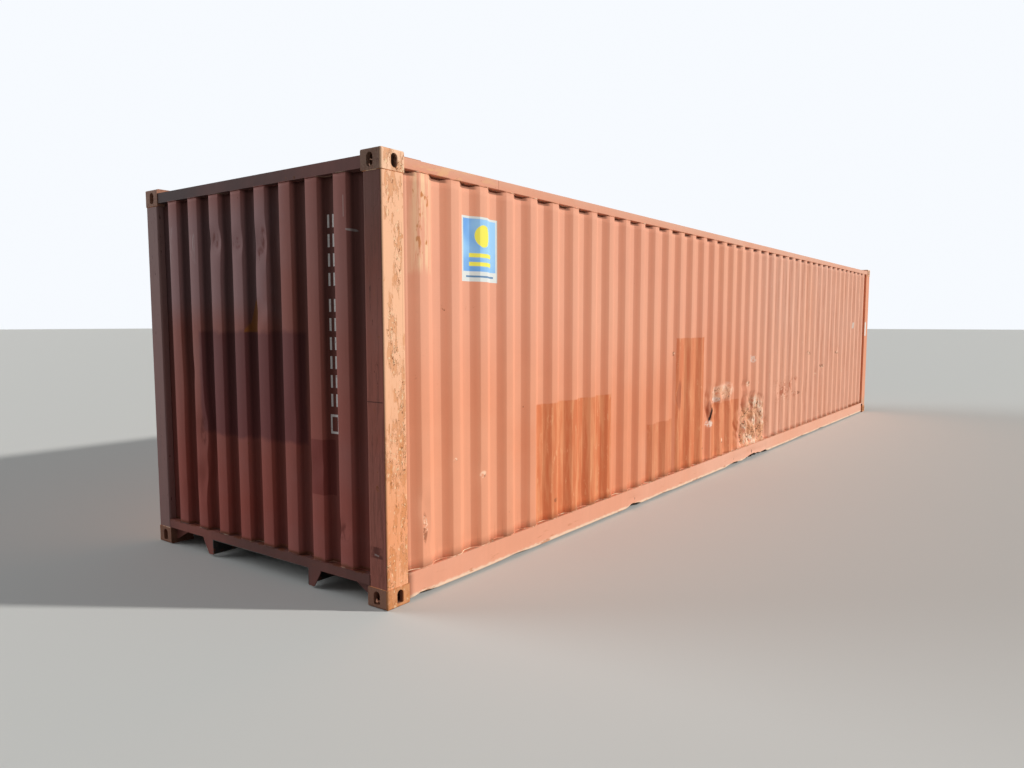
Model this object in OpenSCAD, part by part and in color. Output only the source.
// Forty foot dry freight container of standard height, closed, in millimetres.
// The origin is the middle of the footprint, at the level of the lower faces of the bottom corner fittings.
// X runs along the container from the closed front end to the doors, Z is up, and left is the -Y side.

/* [Overall] */
// Length over the corner fittings
length = 12192; // [9000:1:13716]
// Width over the corner fittings
width = 2438; // [2300:1:2600]
// Height over the corner fittings
height = 2591; // [2300:1:2896]

/* [Corner fittings] */
// Size of a corner fitting along the container
fitting_l = 178; // [172:1:190]
// Size of a corner fitting across the container
fitting_w = 162; // [155:1:175]
// Height of a corner fitting
fitting_h = 118; // [114:1:124]
// Wall of a fitting on its three outer faces
fitting_wall = 28; // [20:0.5:30]
// Wall of a fitting on its three inner faces
fitting_back = 13; // [8:0.5:18]
// Radius of a fitting's three outer edges
fitting_round = 14; // [6:1:20]
// Length of the twist-lock aperture
aperture_l = 124.5; // [110:0.5:126]
// Width of the twist-lock aperture
aperture_w = 63.5; // [50:0.5:66]
// Twist-lock aperture centre from the end face
aperture_x = 103.5; // [95:0.5:106]
// Twist-lock aperture centre from the side face
aperture_y = 89.5; // [80:0.5:95]
// Width of the hand holes in the side and end faces
hand_hole_w = 51; // [40:0.5:54]
// Height of the hand holes
hand_hole_h = 79.5; // [70:0.5:82]
// Corner radius at the flat foot of a bottom fitting's hand holes
hand_hole_foot_r = 13; // [6:0.5:20]
// Side hand hole centre from the end face
side_hole_x = 101.5; // [95:0.5:106]
// End hand hole centre from the side face
end_hole_y = 89; // [80:0.5:95]
// Hand hole centre from the fitting's bottom or top face
hand_hole_z = 62; // [58:0.5:66]

/* [Corner posts] */
// Plate thickness of the pressed posts
post_t = 6; // [4:0.5:8]
// Inner radius of the bends in posts and bottom rails
press_r = 6; // [3:0.5:10]
// How far the posts stand in from the fitting faces
post_inset = 4; // [2:0.5:8]
// Width of a front post seen from the end
front_post_face = 150; // [120:1:200]
// Width of a rear post's side face
rear_post_side = 255; // [220:1:320]
// Width of a rear post beside the doors
rear_post_face = 49; // [40:1:60]
// Thickness of the rolled channel inside a rear post
rear_channel_t = 12; // [8:0.5:14]
// Depth of that channel along the container
rear_channel_d = 113; // [105:1:140]

/* [Side rails] */
// Outside size of the square top rail tube
top_rail = 60; // [50:1:70]
// Wall of the top rail tube
top_rail_t = 3; // [2.5:0.5:5]
// Inner corner radius of the top rail tube
top_rail_r = 1; // [0.5:0.5:4]
// Top rail's upper face below the top of the fittings
top_rail_drop = 31; // [28:1:40]
// How far the side rails stand in from the fitting faces
rail_inset = 5; // [3:0.5:8]
// Height of the bottom side rail
bottom_rail_h = 158; // [140:1:180]
// Clearance under the bottom structure
ground_gap = 17; // [12:0.5:20]
// Width of the bottom rail's upper flange
bottom_rail_top = 48; // [46:1:60]
// Width of the bottom rail's lower flange
bottom_rail_foot = 30; // [20:1:40]
// Plate thickness of the bottom rail
bottom_rail_t = 4.5; // [3:0.5:6]
// Length of the pocket in the bottom rail before a rear fitting
rail_pocket_l = 100; // [60:1:140]
// Depth of that pocket
rail_pocket_d = 30; // [20:1:36]
// Height of the lip left over the pocket
rail_lip_h = 18; // [10:1:30]

/* [Side walls] */
// Sheet thickness of the side walls
side_t = 1.6; // [1.2:0.1:3]
// How far the outer flats stand in from the fitting faces
side_inset = 6; // [4:0.5:9]
// Depth of the side corrugation
side_depth = 36; // [24:1:37]
// Width of an outer flat
side_outer = 72; // [50:1:90]
// Width of an inner flat
side_inner = 70; // [50:1:90]
// Run of a slope between the flats
side_slope = 68; // [40:1:80]
// Inner flat before the first slope
side_lead = 57; // [30:1:80]
// Inner radius of the corrugation bends
wave_r = 7; // [3:0.5:12]

/* [Front wall] */
// Sheet thickness of the front wall
front_t = 2; // [1.6:0.1:4]
// How far the front wall's outer flats stand in from the end face
front_inset = 6; // [4:0.5:8]
// Depth of the front corrugation
front_depth = 45.6; // [30:0.1:46]
// Width of an outer flat of the front wall
front_outer = 110; // [80:1:120]
// Width of an inner flat of the front wall
front_inner = 104; // [80:1:120]
// Run of a slope of the front wall
front_slope = 18; // [10:1:30]
// Height of the front top rail
front_rail_h = 70; // [60:1:90]
// Depth of the front rails along the container
front_rail_d = 60; // [58:1:80]
// Plate thickness of the front rails
front_rail_t = 4; // [3:0.5:6]
// Height of the front sill
front_sill_h = 61; // [55:1:90]
// Reach of the gussets under the front sill
gusset_w = 172; // [120:1:220]
// Drop of the gussets at the fittings
gusset_h = 92; // [60:1:104]
// Gussets behind the end face
gusset_x = 47; // [10:1:50]
// Plate thickness of gussets and tongues
gusset_t = 8; // [6:0.5:12]

/* [Gooseneck tunnel] */
// Clear width of the tunnel
tunnel_w = 1030; // [1000:1:1060]
// Tunnel ceiling above the bottom of the fittings
tunnel_h = 120; // [112:1:122]
// Length of the tunnel from the front end
tunnel_l = 3315; // [3000:1:3500]
// Thickness of the tunnel's ceiling plate
tunnel_roof_t = 4; // [3:0.5:6]
// Thickness of the tunnel's side plates
tunnel_side_t = 6; // [4:0.5:8]
// Width of a tongue at its top
tongue_w = 113; // [80:1:150]
// Width of a tongue at its tip
tongue_tip = 48; // [20:1:70]
// Height of a tongue's tip above the bottom of the fittings
tongue_z = 13; // [12:1:20]

/* [Floor] */
// Height of the crossmembers
beam_h = 122; // [110:1:130]
// Flange width of the crossmembers
beam_w = 45; // [35:1:60]
// Plate thickness of the crossmembers
beam_t = 4; // [3:0.5:6]
// Longest spacing of the crossmembers
beam_pitch = 305; // [250:5:400]
// Thickness of the plywood floor
floor_t = 28; // [21:1:30]
// Number of floor boards across
board_rows = 2; // [1:1:4]
// Longest floor board
board_l = 2420; // [1200:10:3000]
// Joint between floor boards
board_gap = 3; // [2:0.5:6]

/* [Roof] */
// Sheet thickness of the roof
roof_t = 2; // [1.6:0.1:3]
// Rise of the stamped roof ribs
roof_rise = 20; // [12:1:22]
// Spacing of the roof ribs
roof_pitch = 209; // [180:1:260]
// Width of a rib's crest
roof_crest = 91; // [60:1:120]
// Run of a rib's slope
roof_slope = 13.5; // [10:0.5:25]
// Roof sheet's edge from the outer face of the rail under it
roof_lap = 8; // [4:1:20]
// Flat margin of the roof sheet at the front and door ends
roof_end = 190; // [160:5:400]
// Flat margin of the roof along the sides
roof_side = 75; // [65:1:120]
// Thickness of the corner plates on the roof
corner_plate_t = 4; // [3:0.5:6]
// Length of the corner plates
corner_plate_l = 150; // [100:5:200]
// Width of the corner plates
corner_plate_w = 300; // [220:5:400]

/* [Doorway] */
// Door plane behind the end face
door_setback = 52; // [50:1:60]
// Height of the door header
header_h = 113; // [100:1:130]
// Depth of the door header along the container
header_d = 100; // [70:1:140]
// Plate thickness of header and sill
header_t = 4; // [3:0.5:6]
// Depth of the sill's top plate along the container
sill_d = 148; // [130:1:180]
// Depth of the sill's lower flange
sill_foot = 70; // [50:1:100]

/* [Doors] */
// Thickness of a door leaf
leaf_d = 50; // [44:1:60]
// Width of a leaf's upright members
leaf_stile = 100; // [80:1:110]
// Height of a leaf's top and bottom members
leaf_rail = 150; // [100:1:180]
// Wall of the leaf's members
leaf_t = 3; // [2.5:0.5:5]
// Gap around a leaf, filled by its gasket
leaf_gap = 12; // [8:1:16]
// Gap between the two leaves
meeting_gap = 14; // [10:1:20]
// Depth of the gaskets along the container
gasket_d = 20; // [10:1:30]
// Sheet thickness of the door panels
panel_t = 2; // [1.6:0.1:3]
// Depth of the door corrugation
panel_depth = 36; // [24:1:38]
// Height of an outer flat of a door panel
panel_outer = 180; // [140:1:220]
// Run of a slope of a door panel
panel_slope = 40; // [30:1:60]
// Number of recesses in a door panel
panel_waves = 5; // [4:1:6]

/* [Door gear] */
// Outside diameter of a locking bar
bar_d = 34; // [30:1:38]
// Wall of a locking bar
bar_t = 3; // [2.5:0.5:5]
// Bar centre behind the end face
bar_x = 26; // [24:0.5:27]
// Inner bar from the middle of the doorway
bar_inner_y = 290; // [220:1:350]
// Outer bar from the side of the doorway
bar_outer_y = 290; // [240:1:350]
// Height of a cam
cam_h = 40; // [30:1:50]
// Reach of a cam beside its bar
cam_reach = 44; // [34:1:50]
// Radius of a cam's nose
cam_nose = 9; // [6:0.5:11]
// Width of a keeper's foot plate
keeper_w = 124; // [118:1:140]
// Height of a keeper's foot plate
keeper_h = 70; // [64:1:80]
// Plate thickness of keepers, brackets and hinge blades
gear_t = 8; // [5:0.5:10]
// Width of a bar bracket
bracket_w = 90; // [80:1:110]
// Height of a bar bracket
bracket_h = 50; // [40:1:70]
// Length of a handle
handle_l = 430; // [350:5:450]
// Height of a handle bar
handle_h = 28; // [20:1:32]
// Thickness of a handle bar
handle_t = 12; // [10:1:16]
// Height of the outer bars' handles over the inner bars' handles
handle_step = 62; // [54:1:70]
// Width of the catch that holds a handle
catch_w = 60; // [40:1:80]
// Plate thickness of a catch
catch_t = 5; // [4:0.5:8]
// Clearance of a handle in its catch
catch_gap = 0.3; // [0.2:0.1:1]
// Lip of a catch in front of the handle
catch_lip = 9; // [6:0.5:12]
// Catch from the free end of its handle
catch_end = 80; // [60:1:120]
// Diameter of a hinge knuckle
knuckle_d = 26; // [22:1:28]
// Height of a hinge knuckle
knuckle_h = 70; // [50:1:90]
// Diameter of a hinge pin's heads
pin_d = 19; // [12:1:21]
// Height of a hinge pin's heads
pin_head = 5; // [3:0.5:8]
// Thickness of a hinge lug
lug_t = 12; // [8:1:16]
// Length of a hinge blade on the door
blade_l = 95; // [70:1:100]
// Length of a hinge blade's root, which has its full height
blade_root = 35; // [20:1:50]
// Height of a hinge blade's tip
blade_tip = 44; // [30:1:60]
// Number of hinges on each door
hinge_count = 4; // [3:1:5]

/* [Hidden] */

left = -1;
right = 1;
front = -1;
rear = 1;
fine = 48;
press_steps = 4;
wave_steps = 2;

paint = [0.74, 0.36, 0.26];
shaded_paint = [0.62, 0.31, 0.24];
ochre_paint = [0.66, 0.44, 0.27];
steel = [0.55, 0.52, 0.48];
rubber = [0.12, 0.12, 0.12];
plywood = [0.58, 0.42, 0.28];

rail_top_z = height - top_rail_drop;
rail_foot_z = rail_top_z - top_rail;
wall_z = ground_gap + bottom_rail_h;
beam_top_z = ground_gap + beam_h;
floor_z = beam_top_z + floor_t;
sill_foot_z = tunnel_h + tunnel_roof_t;
sill_top_z = sill_foot_z + front_sill_h;
front_rail_z = rail_top_z - front_rail_h;
header_z = rail_top_z - header_h;
fitting_top_z = height - fitting_h;

side_recess = side_inset + side_depth;
side_pitch = side_outer + side_inner + 2 * side_slope;
side_run = length - fitting_l - rear_post_side;
side_tail_min = 30;
side_waves = floor((side_run - side_lead - side_tail_min - 2 * side_slope - side_outer) / side_pitch) + 1;

front_recess = front_inset + front_depth;
front_pitch = front_outer + front_inner + 2 * front_slope;
front_run = width - 2 * front_post_face;
front_waves = floor((front_run - 2 * front_slope - front_outer) / front_pitch) + 1;
front_used = (front_waves - 1) * front_pitch + front_outer + 2 * front_slope;
front_lead = (front_run - front_used) / 2;

lap = 6;
side_return = side_recess + side_t + lap;
front_return = front_recess + front_t + lap;
floor_edge = max(rail_inset + bottom_rail_top + 1, side_return + 1);

tunnel_half = tunnel_w / 2 + tunnel_side_t;
beams_from = tunnel_l + beam_w / 2;
beams_to = length - fitting_l - rail_pocket_l - bottom_rail_t - beam_w;
beam_count = ceil((beams_to - beams_from) / beam_pitch) + 1;
beam_step = (beams_to - beams_from) / (beam_count - 1);
outriggers_from = fitting_l + beam_w;
outrigger_count = ceil((tunnel_l - outriggers_from) / beam_pitch);
outrigger_step = (tunnel_l - outriggers_from) / outrigger_count;

leaf_in = meeting_gap / 2;
doorway_half = width / 2 - rear_post_face;
leaf_out = doorway_half - leaf_gap;
leaf_w = leaf_out - leaf_in;
leaf_z = floor_z + leaf_gap + 1;
leaf_h = header_z - leaf_gap - 1 - leaf_z;
panel_z = leaf_z + leaf_rail;
panel_h = leaf_h - 2 * leaf_rail;
panel_pitch = (panel_h - panel_outer) / panel_waves;
panel_inner = panel_pitch - panel_outer - 2 * panel_slope;
panel_x = door_setback + 3;
function panel_flat_z(k) = panel_z + panel_outer / 2 + k * panel_pitch;

bar_from = floor_z - 75;
bar_to = header_z + 75;
bar_gap = 0.3;
cam_gap = 2;
cam_end = 10 + cam_h / 2;
cam_places = [bar_from + cam_end, bar_to - cam_end];
bar_places = [bar_inner_y, doorway_half - bar_outer_y];
handle_hub_t = 5;
handle_ways = [-1, 1];
handle_places = [panel_flat_z(2) - handle_step / 2, panel_flat_z(2) + handle_step / 2];

// Lateral mitre of an open path at one of its points, for a sheet of thickness t on its left side
function unit(v) = v / norm(v);
function left_of(a, b) = let(d = unit(b - a)) [-d[1], d[0]];
function before(pts, i) = left_of(pts[max(i, 1) - 1], pts[max(i, 1)]);
function after(pts, i) = i < len(pts) - 1 ? left_of(pts[i], pts[i + 1]) : before(pts, i);
function mitre(pts, i, t) =
    let(a = before(pts, i), b = after(pts, i)) pts[i] + t * (a + b) / (1 + a * b);
function sheet_points(pts, t) =
    concat(pts, [for (i = [len(pts) - 1 : -1 : 0]) mitre(pts, i, t)]);

// The same path with its corners bent to an inner radius, for a sheet of thickness t on its left side
function turned(v, a) = [v[0] * cos(a) - v[1] * sin(a), v[0] * sin(a) + v[1] * cos(a)];
function turn(a, b) = atan2(a[0] * b[1] - a[1] * b[0], a * b);
function bend(pts, i, t, r, steps) =
    let(a = unit(pts[i] - pts[i - 1]),
        w = turn(a, pts[i + 1] - pts[i]),
        way = sign(w),
        radius = r + (way * t > 0 ? abs(t) : 0),
        start = pts[i] - a * radius * tan(abs(w) / 2),
        centre = start + way * radius * [-a[1], a[0]])
    [for (s = [0 : steps]) centre + turned(start - centre, w * s / steps)];
function bent(pts, t, r, steps) = [
    pts[0],
    for (i = [1 : len(pts) - 2]) for (p = bend(pts, i, t, r, steps)) p,
    pts[len(pts) - 1]
];

// A sheet of thickness t along a path, h high, with bends of an inner radius
module sheet(pts, t, h, r, steps) {
    linear_extrude(h) polygon(sheet_points(bent(pts, t, r, steps), t));
}

// Puts something drawn for the front left corner at another corner
module corner(end, side) {
    mirror([end == rear ? 1 : 0, 0, 0])
        mirror([0, side == right ? 1 : 0, 0])
            translate([-length / 2, -width / 2, 0]) children();
}

// Turns a profile of (across, up) so that it is swept along X over a length
module along_x(l) {
    rotate([90, 0, 90]) linear_extrude(l) children();
}

// Turns a profile of (along, up) so that it is swept along Y over a width centred on Y = 0
module along_y(w) {
    translate([0, w / 2, 0]) rotate([90, 0, 0]) linear_extrude(w) children();
}

module stadium(l, w) {
    square([l - w, w], center = true);
    for (s = [-1, 1]) translate([s * (l - w) / 2, 0]) circle(d = w, $fn = fine);
}

// Hand hole with a round head and a flat foot with small corners
module flat_foot_hole(w, h, r) {
    translate([0, (h - w) / 2]) circle(d = w, $fn = fine);
    translate([-w / 2, -h / 2 + r]) square([w, h - w / 2 - r]);
    translate([-w / 2 + r, -h / 2]) square([w - 2 * r, h / 2]);
    for (s = [-1, 1]) translate([s * (w / 2 - r), -h / 2 + r]) circle(r = r, $fn = fine);
}

module hand_hole(flat_foot) {
    if (flat_foot) flat_foot_hole(hand_hole_w, hand_hole_h, hand_hole_foot_r);
    else rotate(90) stadium(hand_hole_h, hand_hole_w);
}

// Rectangle with its corner at the origin rounded
module one_round(a, b, r) {
    difference() {
        square([a, b]);
        difference() {
            translate([-1, -1]) square(r + 1);
            translate([r, r]) circle(r = r, $fn = fine);
        }
    }
}

// Rectangle with all its corners rounded
module rounded(a, b, r) {
    translate([r, 0]) square([a - 2 * r, b]);
    translate([0, r]) square([a, b - 2 * r]);
    for (x = [r, a - r], y = [r, b - r]) translate([x, y]) circle(r = r, $fn = fine);
}

// Hollow corner casting with its outer corner at the origin and its three outer edges rounded
module fitting(flat_foot) {
    reach = fitting_wall + 1;
    difference() {
        intersection() {
            linear_extrude(fitting_h) one_round(fitting_l, fitting_w, fitting_round);
            translate([0, fitting_w, 0]) rotate([90, 0, 0])
                linear_extrude(fitting_w) one_round(fitting_l, fitting_h, fitting_round);
            along_x(fitting_l) one_round(fitting_w, fitting_h, fitting_round);
        }
        translate([fitting_wall, fitting_wall, fitting_wall])
            cube([fitting_l - fitting_wall - fitting_back,
                  fitting_w - fitting_wall - fitting_back,
                  fitting_h - fitting_wall - fitting_back]);
        translate([aperture_x, aperture_y, -1])
            linear_extrude(reach + 1) stadium(aperture_l, aperture_w);
        translate([side_hole_x, reach, hand_hole_z])
            rotate([90, 0, 0]) linear_extrude(reach + 1) hand_hole(flat_foot);
        translate([-1, end_hole_y, hand_hole_z])
            rotate([90, 0, 90]) linear_extrude(reach + 1) hand_hole(flat_foot);
    }
}

module bottom_fitting(end, side) {
    color(ochre_paint) corner(end, side) fitting(true);
}

module top_fitting(end, side) {
    color(ochre_paint) corner(end, side) translate([0, 0, height]) mirror([0, 0, 1]) fitting(false);
}

// Pressed open section: side return, side face, end face and end return
module front_post(side) {
    path = [
        [fitting_l, side_return], [fitting_l, post_inset], [post_inset, post_inset],
        [post_inset, front_post_face], [front_return, front_post_face]
    ];
    color(ochre_paint) corner(front, side) translate([0, 0, fitting_h])
        sheet(path, -post_t, fitting_top_z - fitting_h, press_r, press_steps);
}

// Wide pressed skin that returns to the side wall, closed by a rolled channel at the doorway
module rear_post(side) {
    skin = [
        [rear_post_side, side_return], [rear_post_side, post_inset],
        [post_inset, post_inset], [post_inset, rear_post_face]
    ];
    inner = post_inset + post_t;
    full_h = fitting_top_z - fitting_h;
    wall_h = rail_foot_z - wall_z;
    color(paint) corner(rear, side) union() {
        translate([0, 0, fitting_h]) intersection() {
            sheet(skin, -post_t, full_h, press_r, press_steps);
            cube([fitting_l, width, full_h]);
        }
        translate([0, 0, wall_z]) intersection() {
            sheet(skin, -post_t, wall_h, press_r, press_steps);
            translate([fitting_l, 0, 0]) cube([rear_post_side, width, wall_h]);
        }
        translate([inner, rear_post_face - rear_channel_t, fitting_h])
            cube([rear_channel_d, rear_channel_t, full_h]);
        translate([inner + rear_channel_d - rear_channel_t, inner, fitting_h])
            cube([rear_channel_t, rear_post_face - inner, full_h]);
    }
}

// Square tube between the fittings of one side
module top_rail(side) {
    color(paint) corner(front, side) translate([fitting_l, rail_inset, rail_foot_z])
        along_x(length - 2 * fitting_l) difference() {
            rounded(top_rail, top_rail, top_rail_r + top_rail_t);
            translate([top_rail_t, top_rail_t])
                rounded(top_rail - 2 * top_rail_t, top_rail - 2 * top_rail_t, top_rail_r);
        }
}

// Channel with both flanges turned in and a sharp upper edge, set back in a pocket before the rear fitting
module bottom_rail(side) {
    run = length - 2 * fitting_l;
    foot = [[bottom_rail_foot, 0], [0, 0], [0, bottom_rail_h]];
    path = concat(bent(foot, -bottom_rail_t, press_r, press_steps), [[bottom_rail_top, bottom_rail_h]]);
    pocket_h = bottom_rail_h - rail_lip_h;
    color(paint) corner(front, side) translate([fitting_l, rail_inset, ground_gap]) union() {
        difference() {
            along_x(run) polygon(sheet_points(path, -bottom_rail_t));
            translate([run - rail_pocket_l, -1, -1])
                cube([rail_pocket_l + 1, rail_pocket_d + 1, pocket_h + 1]);
        }
        translate([run - rail_pocket_l, rail_pocket_d, bottom_rail_t])
            cube([rail_pocket_l, bottom_rail_t, bottom_rail_h - 1.5 * bottom_rail_t]);
        translate([run - rail_pocket_l - bottom_rail_t, bottom_rail_t, bottom_rail_t])
            cube([bottom_rail_t, rail_pocket_d, bottom_rail_h - 1.5 * bottom_rail_t]);
    }
}

// Upright trapezoid corrugation between the posts
module side_wall(side) {
    deep = side_recess;
    waves = [
        for (k = [0 : side_waves - 1])
            let(x = fitting_l + side_lead + k * side_pitch)
            for (p = [
                [x, deep], [x + side_slope, side_inset],
                [x + side_slope + side_outer, side_inset], [x + 2 * side_slope + side_outer, deep]
            ]) p
    ];
    path = concat([[fitting_l, deep]], waves, [[fitting_l + side_run, deep]]);
    color(paint) corner(front, side) translate([0, 0, wall_z])
        sheet(path, side_t, rail_foot_z - wall_z, wave_r, wave_steps);
}

// Steep corrugation between the front posts, notched round the top fittings
module front_wall() {
    deep = front_recess;
    waves = [
        for (k = [0 : front_waves - 1])
            let(y = front_post_face + front_lead + k * front_pitch)
            for (p = [
                [deep, y], [front_inset, y + front_slope],
                [front_inset, y + front_slope + front_outer], [deep, y + 2 * front_slope + front_outer]
            ]) p
    ];
    path = concat([[deep, front_post_face]], waves, [[deep, front_post_face + front_run]]);
    notch_h = max(front_rail_z - fitting_top_z, 0) + 1;
    color(shaded_paint) difference() {
        corner(front, left) translate([0, 0, sill_top_z])
            sheet(path, -front_t, front_rail_z - sill_top_z, wave_r, wave_steps);
        for (side = [left, right])
            corner(front, side) translate([-1, 0, fitting_top_z]) cube([fitting_l, fitting_w, notch_h]);
    }
}

module box_tube(d, h, t) {
    difference() {
        square([d, h]);
        translate([t, t]) square([d - 2 * t, h - 2 * t]);
    }
}

module front_top_rail() {
    color(shaded_paint) translate([-length / 2 + post_inset, 0, front_rail_z])
        along_y(width - 2 * fitting_w) box_tube(front_rail_d, front_rail_h, front_rail_t);
}

// Tube over the tunnel mouth, with a gusset to each bottom fitting
module front_sill() {
    color(shaded_paint) union() {
        translate([-length / 2 + post_inset, 0, sill_foot_z])
            along_y(width - 2 * front_post_face) box_tube(front_rail_d, front_sill_h, front_rail_t);
        for (side = [left, right])
            corner(front, side)
                translate([gusset_x, fitting_w, sill_foot_z])
                    rotate([90, 0, 90]) linear_extrude(gusset_t)
                        polygon([[0, 0], [0, -gusset_h], [10, -gusset_h], [gusset_w, -10], [gusset_w, 0]]);
    }
}

// Tapered plates that hang from the sill beside the tunnel mouth
module tunnel_tongues() {
    drop = sill_foot_z - tongue_z;
    color(shaded_paint) for (side = [left, right])
        corner(front, side) translate([post_inset, width / 2 - tunnel_half, sill_foot_z])
            rotate([90, 0, 90]) linear_extrude(gusset_t)
                polygon([[0, 0], [0, -drop], [-tongue_tip, -drop], [-tongue_w, -12], [-tongue_w, 0]]);
}

module tunnel_roof() {
    color(paint) union() {
        corner(front, left) translate([post_inset, width / 2 - tunnel_half, tunnel_h])
            cube([tunnel_l - post_inset, 2 * tunnel_half, tunnel_roof_t]);
        for (k = [0 : outrigger_count - 1])
            corner(front, left)
                translate([outriggers_from + k * outrigger_step, width / 2 - tunnel_half, sill_foot_z])
                    cube([beam_w, 2 * tunnel_half, beam_top_z - sill_foot_z]);
    }
}

module tunnel_sides() {
    color(paint) for (side = [left, right])
        corner(front, side) translate([post_inset, width / 2 - tunnel_half, ground_gap])
            cube([tunnel_l - post_inset, tunnel_side_t, tunnel_h - ground_gap]);
}

// Profile of a crossmember as (along, up), open towards the doors
module beam_profile() {
    path = [[beam_w, 0], [0, 0], [0, beam_h], [beam_w, beam_h]];
    polygon(sheet_points(path, -beam_t));
}

// Room for a bottom rail's lower flange and its bend at a beam's end
module rail_foot_notch() {
    for (side = [left, right])
        corner(front, side) translate([0, rail_inset, ground_gap - 1])
            cube([length, bottom_rail_foot, bottom_rail_t + press_r + 1]);
}

module outriggers(side) {
    from = rail_inset + bottom_rail_t;
    reach = width / 2 - tunnel_half - from;
    color(paint) difference() {
        corner(front, side) for (k = [0 : outrigger_count - 1])
            translate([outriggers_from + k * outrigger_step, from + reach / 2, ground_gap])
                along_y(reach) beam_profile();
        rail_foot_notch();
    }
}

// Full width beams behind the tunnel, the first one a closed bolster at the tunnel's end
module crossmembers() {
    reach = width - 2 * (rail_inset + bottom_rail_t);
    color(paint) difference() {
        union() {
            translate([-length / 2 + tunnel_l, 0, ground_gap]) along_y(reach)
                box_tube(2 * beam_w, beam_h, beam_t);
            for (k = [1 : beam_count - 1])
                translate([-length / 2 + beams_from + k * beam_step, 0, ground_gap]) along_y(reach)
                    beam_profile();
        }
        rail_foot_notch();
    }
}

module floor_boards() {
    from = post_inset + front_rail_d;
    run = length - from - door_setback - sill_d;
    wide = width - 2 * floor_edge;
    count = ceil(run / board_l);
    board = (run + board_gap) / count;
    row = (wide + board_gap) / board_rows;
    color(plywood) corner(front, left) translate([from, floor_edge, beam_top_z])
        for (i = [0 : count - 1], j = [0 : board_rows - 1])
            translate([i * board, j * row, 0]) cube([board - board_gap, row - board_gap, floor_t]);
}

// Rib crests along the roof, as the (along, up) outline of a solid rib field
function roof_line(run, grow) =
    let(n = floor((run - 2 * roof_end - roof_crest) / roof_pitch) + 1,
        used = (n - 1) * roof_pitch + roof_crest + 2 * roof_slope,
        start = (run - used) / 2)
    [for (k = [0 : n - 1]) let(x = start + k * roof_pitch) for (p = [
        [x - grow, 0], [x + roof_slope - grow, roof_rise],
        [x + roof_slope + roof_crest + grow, roof_rise], [x + 2 * roof_slope + roof_crest + grow, 0]
    ]) p];

// Solid under a sheet of ribs, from the origin along X and centred on Y = 0
module rib_field(run, wide, grow) {
    side = roof_side - grow;
    ribs = concat([[0, -roof_t], [0, 0]], roof_line(run, grow), [[run, 0], [run, -roof_t]]);
    intersection() {
        along_y(wide) polygon(ribs);
        along_x(run) translate([-wide / 2, 0])
            polygon([
                [0, -roof_t], [0, 0], [side, 0], [side + 2 * roof_slope, roof_rise],
                [wide - side - 2 * roof_slope, roof_rise], [wide - side, 0], [wide, 0], [wide, -roof_t]
            ]);
    }
}

// Die-stamped sheet between the fittings of both ends: a flat margin all round and raised ribs across
module roof() {
    run = length - 2 * fitting_l;
    wide = width - 2 * (rail_inset + roof_lap);
    color(paint) translate([-run / 2, 0, rail_top_z]) difference() {
        translate([0, 0, roof_t]) rib_field(run, wide, 0);
        rib_field(run, wide, -roof_t / 2);
    }
}

// Flat plates on the front rail and the door header, between the top fittings
module roof_end_plates() {
    wide = width - 2 * fitting_w;
    color(paint) for (end = [front, rear]) {
        from = roof_lap + (end == front ? post_inset : door_setback);
        corner(end, left) translate([from, fitting_w, rail_top_z])
            cube([fitting_l - from, wide, roof_t]);
    }
}

module roof_corner_plates() {
    z = rail_top_z + roof_t;
    color(paint) for (end = [front, rear], side = [left, right])
        corner(end, side) translate([fitting_l, rail_inset + roof_lap, z])
            cube([corner_plate_l, corner_plate_w, corner_plate_t]);
}

// Box beam over the doors, narrower between the fittings
module door_header() {
    color(paint) difference() {
        translate([length / 2 - door_setback - header_d, 0, header_z])
            along_y(2 * doorway_half) box_tube(header_d, header_h, header_t);
        for (side = [left, right])
            corner(rear, side) translate([0, 0, fitting_top_z]) cube([fitting_l, fitting_w, fitting_h]);
    }
}

// Channel under the doors with a wide tread plate
module door_sill() {
    path = [[sill_foot, 0], [0, 0], [0, floor_z - ground_gap], [sill_d, floor_z - ground_gap]];
    color(paint) difference() {
        mirror([1, 0, 0]) translate([-length / 2 + door_setback, 0, ground_gap])
            along_y(2 * doorway_half) polygon(sheet_points(path, -header_t));
        for (side = [left, right])
            corner(rear, side) translate([-1, -1, -1]) cube([fitting_l + 1, fitting_w + 1, fitting_h + 1]);
        for (side = [left, right])
            corner(rear, side) translate([fitting_l, rail_inset, ground_gap - 1])
                cube([length, bottom_rail_top, wall_z - ground_gap + 1]);
    }
}

// Rectangular leaf frame: tubes for the stiles and rails
module door_frame(side) {
    color(paint) corner(rear, side)
        translate([door_setback, width / 2 - leaf_out, leaf_z]) difference() {
            cube([leaf_d, leaf_w, leaf_h]);
            translate([-1, leaf_stile, leaf_rail])
                cube([leaf_d + 2, leaf_w - 2 * leaf_stile, leaf_h - 2 * leaf_rail]);
            for (y = [leaf_t, leaf_w - leaf_stile + leaf_t])
                translate([leaf_t, y, leaf_t])
                    cube([leaf_d - 2 * leaf_t, leaf_stile - 2 * leaf_t, leaf_h - 2 * leaf_t]);
            for (z = [leaf_t, leaf_h - leaf_rail + leaf_t])
                translate([leaf_t, leaf_stile + leaf_t, z])
                    cube([leaf_d - 2 * leaf_t, leaf_w - 2 * leaf_stile - 2 * leaf_t, leaf_rail - 2 * leaf_t]);
        }
}

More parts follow.
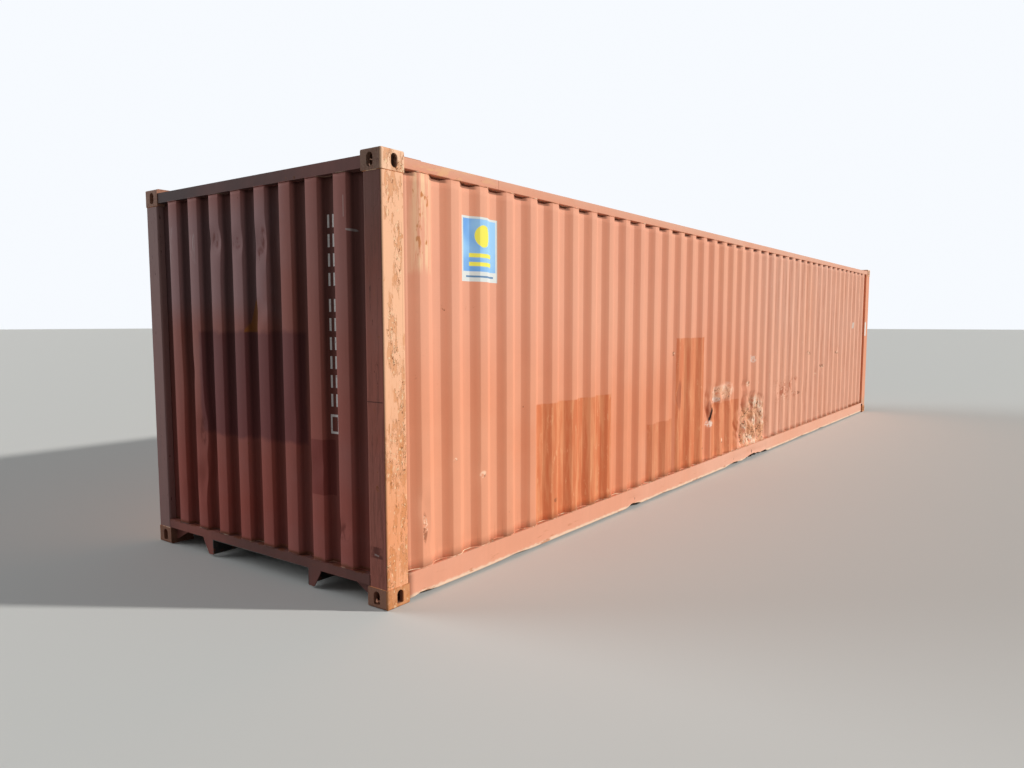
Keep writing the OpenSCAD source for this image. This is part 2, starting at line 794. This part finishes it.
// Horizontal corrugation inside the leaf frame, as (inward, up)
module door_panel(side) {
    waves = [
        for (k = [0 : panel_waves - 1])
            let(z = panel_outer + k * panel_pitch)
            for (p = [
                [0, z], [panel_depth, z + panel_slope],
                [panel_depth, z + panel_slope + panel_inner], [0, z + 2 * panel_slope + panel_inner]
            ]) p
    ];
    path = concat([[0, 0]], waves, [[0, panel_h]]);
    wide = leaf_w - 2 * leaf_stile;
    color(paint) corner(rear, side)
        translate([panel_x, width / 2 - leaf_out + leaf_stile + wide / 2, panel_z])
            along_y(wide) polygon(sheet_points(path, -panel_t));
}

// Rubber loop round each leaf
module door_gaskets() {
    from = door_setback + leaf_d - gasket_d;
    color(rubber) for (side = [left, right])
        corner(rear, side) translate([from, 0, 0]) difference() {
            translate([0, width / 2 - doorway_half, floor_z])
                cube([gasket_d, doorway_half - 0.5, header_z - floor_z]);
            translate([-1, width / 2 - leaf_out, leaf_z]) cube([gasket_d + 2, leaf_w, leaf_h]);
        }
}

// Knuckle between two lugs on the post, with a tapered blade on the leaf's stile
module hinge() {
    pin_y = width / 2 - doorway_half + leaf_gap + 2;
    half = knuckle_h / 2;
    for (s = [-1, 1])
        translate([0, 0, s * (knuckle_h + lug_t) / 2]) {
            cylinder_at(bar_x, pin_y, lug_t, knuckle_d);
            translate([bar_x - knuckle_d / 2, width / 2 - doorway_half, -lug_t / 2])
                cube([knuckle_d, leaf_gap + 2, lug_t]);
        }
    cylinder_at(bar_x, pin_y, knuckle_h + 2 * (lug_t + pin_head), pin_d);
    cylinder_at(bar_x, pin_y, knuckle_h, knuckle_d);
    translate([bar_x, pin_y, -half]) cube([door_setback - bar_x, knuckle_d / 2, knuckle_h]);
    translate([door_setback - gear_t, pin_y, 0]) along_x(gear_t)
        polygon([
            [0, -half], [blade_root, -half], [blade_l, -blade_tip / 2],
            [blade_l, blade_tip / 2], [blade_root, half], [0, half]
        ]);
}

module cylinder_at(x, y, h, d) {
    translate([x, y, -h / 2]) cylinder(d = d, h = h, $fn = fine);
}

module door_hinges() {
    first = leaf_z + leaf_rail;
    step = (leaf_h - 2 * leaf_rail) / (hinge_count - 1);
    color(steel) for (side = [left, right], k = [0 : hinge_count - 1])
        corner(rear, side) translate([0, 0, first + k * step]) hinge();
}

// Outline of a cam seen from above: a hub round the bar and a nose beside it, joined by their tangents
module cam_profile() {
    hub = bar_d / 2 + 0.5;
    throw = cam_reach - cam_nose;
    lean = asin((hub - cam_nose) / throw);
    edge = [for (s = [-1, 1]) [s * cos(lean), -sin(lean)]];
    circle(r = hub, $fn = fine);
    translate([0, -throw]) circle(r = cam_nose, $fn = fine);
    polygon([
        hub * edge[0], hub * edge[1],
        [0, -throw] + cam_nose * edge[1], [0, -throw] + cam_nose * edge[0]
    ]);
}

// Tube with a cam near each end
module locking_bar() {
    difference() {
        union() {
            translate([0, 0, bar_from]) cylinder(d = bar_d, h = bar_to - bar_from, $fn = fine);
            for (z = cam_places) translate([0, 0, z - cam_h / 2]) linear_extrude(cam_h) cam_profile();
        }
        translate([0, 0, bar_from - 1])
            cylinder(d = bar_d - 2 * bar_t, h = bar_to - bar_from + 2, $fn = fine);
    }
}

module locking_bars(side) {
    color(steel) corner(rear, side)
        for (y = bar_places) translate([bar_x, width / 2 - y, 0]) locking_bar();
}

// Guides on the outer flats of the door panels
module bar_brackets() {
    flats = [0, 1, 3, 5];
    color(steel) for (side = [left, right], y = bar_places, k = flats)
        corner(rear, side) translate([0, width / 2 - y, panel_flat_z(min(k, panel_waves))]) bar_bracket();
}

module bar_bracket() {
    difference() {
        union() {
            translate([panel_x - gear_t, -bracket_w / 2, -bracket_h / 2])
                cube([gear_t, bracket_w, bracket_h]);
            translate([bar_x, -bar_d / 2 - gear_t, -bracket_h / 2])
                cube([panel_x - bar_x, bar_d + 2 * gear_t, bracket_h]);
            translate([bar_x, 0, -bracket_h / 2])
                cylinder(d = bar_d + 2 * gear_t, h = bracket_h, $fn = fine);
        }
        translate([bar_x, 0, -bracket_h]) cylinder(d = bar_d + 2 * bar_gap, h = 2 * bracket_h, $fn = fine);
    }
}

// Foot plate with two chamfered shelves over and under a cam, closed by a lug beyond its nose
module keeper() {
    lip_x = bar_x - 2 * gear_t;
    near = bar_d / 2 + 2;
    far = keeper_w / 2;
    shelf_z = cam_h / 2 + cam_gap;
    translate([door_setback - gear_t, -far, -keeper_h / 2]) cube([gear_t, keeper_w, keeper_h]);
    for (s = [-1, 1])
        translate([0, 0, s * (shelf_z + gear_t / 2) - gear_t / 2]) linear_extrude(gear_t)
            polygon([
                [door_setback, -far], [bar_x, -far], [lip_x, bar_x - lip_x - far],
                [lip_x, -near], [door_setback, -near]
            ]);
    translate([bar_x, -far, -shelf_z]) cube([door_setback - bar_x, gear_t, 2 * shelf_z]);
}

module cam_keepers() {
    color(steel) for (side = [left, right], y = bar_places, z = cam_places)
        corner(rear, side) translate([0, width / 2 - y, z]) keeper();
}

// Flat handle with a round end, hung on a bar by its hub
module door_handle(way) {
    straight = handle_l - handle_h / 2;
    difference() {
        union() {
            translate([bar_x, 0, -handle_h / 2])
                cylinder(d = bar_d + 2 * handle_hub_t, h = handle_h, $fn = fine);
            translate([bar_x - handle_t / 2, 0, 0]) along_x(handle_t) {
                translate([min(way, 0) * straight, -handle_h / 2]) square([straight, handle_h]);
                translate([way * straight, 0]) circle(d = handle_h, $fn = fine);
            }
        }
        translate([bar_x, 0, -handle_h]) cylinder(d = bar_d + 2 * bar_gap, h = 2 * handle_h, $fn = fine);
    }
}

// The handles of a door reach towards each other, the outer one above
module door_handles() {
    color(steel) for (side = [left, right], k = [0, 1])
        corner(rear, side) translate([0, width / 2 - bar_places[k], handle_places[k]])
            door_handle(handle_ways[k]);
}

// Back plate on the door with a jaw under and over the handle, open between their lips
module handle_catch() {
    reach = handle_h / 2 + catch_gap;
    jaw_x = bar_x - handle_t / 2 - catch_gap;
    plate_h = 2 * (reach + catch_t + catch_lip);
    jaw = [[panel_x - catch_t / 2, reach], [jaw_x, reach], [jaw_x, reach - catch_lip]];
    translate([panel_x - catch_t, -catch_w / 2, -plate_h / 2]) cube([catch_t, catch_w, plate_h]);
    for (s = [0, 1])
        mirror([0, 0, s]) along_y(catch_w) polygon(sheet_points(jaw, -catch_t));
}

module handle_catches() {
    color(steel) for (side = [left, right], k = [0, 1]) {
        along = handle_ways[k] * (handle_l - catch_end);
        corner(rear, side) translate([0, width / 2 - bar_places[k] + along, handle_places[k]]) handle_catch();
    }
}

front_post(left);  // front_post_left
front_post(right);  // front_post_right
rear_post(left);  // rear_post_left
rear_post(right);  // rear_post_right
bottom_fitting(front, left);  // bottom_fitting_front_left
bottom_fitting(front, right);  // bottom_fitting_front_right
bottom_fitting(rear, left);  // bottom_fitting_rear_left
bottom_fitting(rear, right);  // bottom_fitting_rear_right
top_fitting(front, left);  // top_fitting_front_left
top_fitting(front, right);  // top_fitting_front_right
top_fitting(rear, left);  // top_fitting_rear_left
top_fitting(rear, right);  // top_fitting_rear_right
front_top_rail();
front_sill();
tunnel_tongues();
front_wall();
top_rail(left);  // top_rail_left
top_rail(right);  // top_rail_right
bottom_rail(left);  // bottom_rail_left
bottom_rail(right);  // bottom_rail_right
side_wall(left);  // side_wall_left
side_wall(right);  // side_wall_right
roof();
roof_corner_plates();
roof_end_plates();
floor_boards();
crossmembers();
tunnel_roof();
tunnel_sides();
outriggers(left);  // outriggers_left
outriggers(right);  // outriggers_right
door_header();
door_sill();
door_frame(left);  // door_frame_left
door_frame(right);  // door_frame_right
door_panel(left);  // door_panel_left
door_panel(right);  // door_panel_right
door_gaskets();
door_hinges();
locking_bars(left);  // locking_bars_left
locking_bars(right);  // locking_bars_right
bar_brackets();
cam_keepers();
door_handles();
handle_catches();
